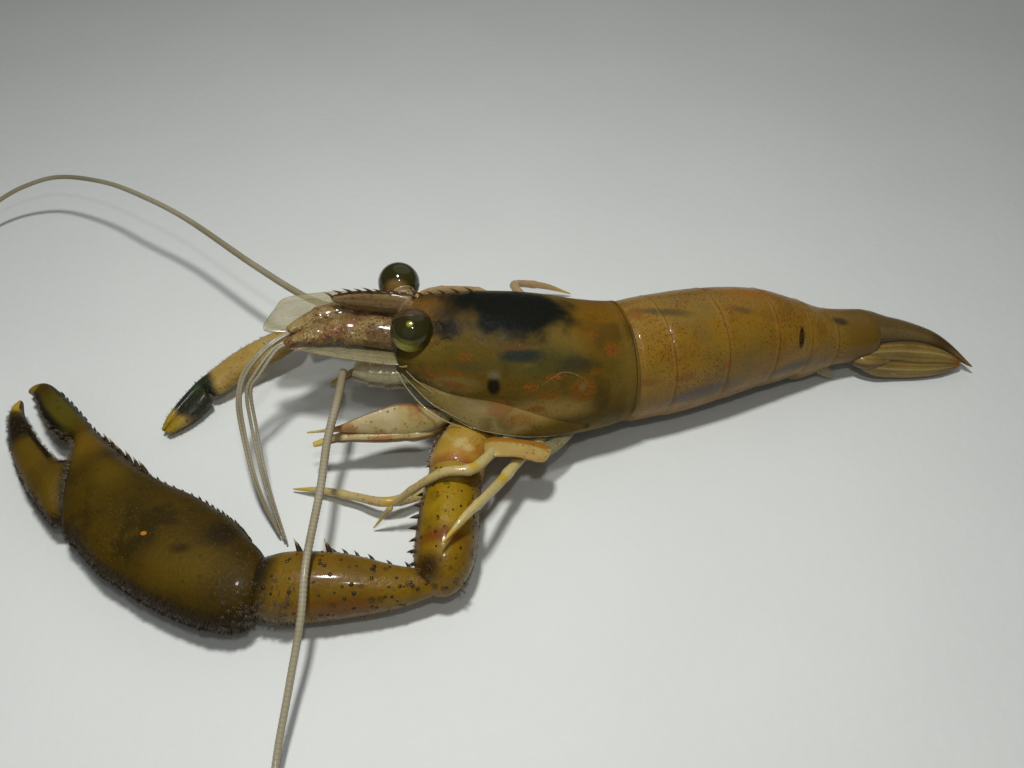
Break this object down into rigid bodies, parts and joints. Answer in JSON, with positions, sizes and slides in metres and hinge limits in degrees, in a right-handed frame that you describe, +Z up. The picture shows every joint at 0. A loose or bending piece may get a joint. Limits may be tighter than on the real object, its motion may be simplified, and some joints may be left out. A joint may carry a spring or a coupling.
{
  "type": "caribbean longarm shrimp",
  "caption": "Life-size still model of a freshwater prawn lying on its belly, great left claw swept forward, long feelers trailing over the floor.",
  "frame": {"origin": "middle of the footprint, on the floor that the shrimp lies on", "axes": "+X from the head towards the tail, -Y towards the animal's left side, where the great claw lies, +Z up"},
  "size_m": [0.1118, 0.092, 0.0144],
  "materials": {
    "carapace_shell": "wet translucent shell, olive and amber with dark blue-black and orange-red marks",
    "tail_shell": "wet translucent shell, amber-ochre with fine orange-brown dots",
    "tail_fan": "thin translucent amber blades",
    "great_claw": "wet olive-brown shell with spines and grey-brown velvet",
    "small_claw": "wet orange-yellow shell with a dark blue-green band",
    "pale_shell": "pale translucent shell with orange edges",
    "feeler": "olive-grey, finely ringed",
    "eye": "polished dark olive with a golden ring"
  },
  "bodies": {
    "root": {"abdomen_1": "tail_shell", "abdomen_2": "tail_shell", "abdomen_3": "tail_shell", "abdomen_4": "tail_shell", "abdomen_5": "tail_shell", "abdomen_6": "tail_shell", "antenna_base_left": "pale_shell", "antenna_base_right": "pale_shell", "antenna_left_1": "feeler", "antenna_left_2": "feeler", "antenna_left_3": "feeler", "antenna_right_1": "feeler", "antenna_right_2": "feeler", "antenna_right_3": "feeler", "antenna_scale_left": "pale_shell", "antenna_scale_right": "pale_shell", "antennule_left": "pale_shell", "antennule_right": "pale_shell", "carapace": "carapace_shell", "claw_left_carpus": "great_claw", "claw_left_finger": "great_claw", "claw_left_ischium": "great_claw", "claw_left_merus": "great_claw", "claw_left_palm": "great_claw", "claw_right_carpus": "small_claw", "claw_right_finger": "small_claw", "claw_right_ischium": "small_claw", "claw_right_merus": "small_claw", "claw_right_palm": "small_claw", "eye_left": "eye", "eye_right": "eye", "eyestalk_left": "pale_shell", "eyestalk_right": "pale_shell", "flagellum_inner_left": "feeler", "flagellum_inner_right": "feeler", "flagellum_outer_left": "feeler", "flagellum_outer_right": "feeler", "leg1_left": "pale_shell", "leg1_right": "pale_shell", "leg3_left": "pale_shell", "leg3_right": "pale_shell", "leg4_left": "pale_shell", "leg4_right": "pale_shell", "leg5_left": "pale_shell", "leg5_right": "pale_shell", "maxilliped_left": "pale_shell", "maxilliped_right": "pale_shell", "rostrum": "carapace_shell", "telson": "tail_fan", "uropod_inner_left": "tail_fan", "uropod_inner_right": "tail_fan", "uropod_outer_left": "tail_fan", "uropod_outer_right": "tail_fan"}
  },
  "joints": []
}
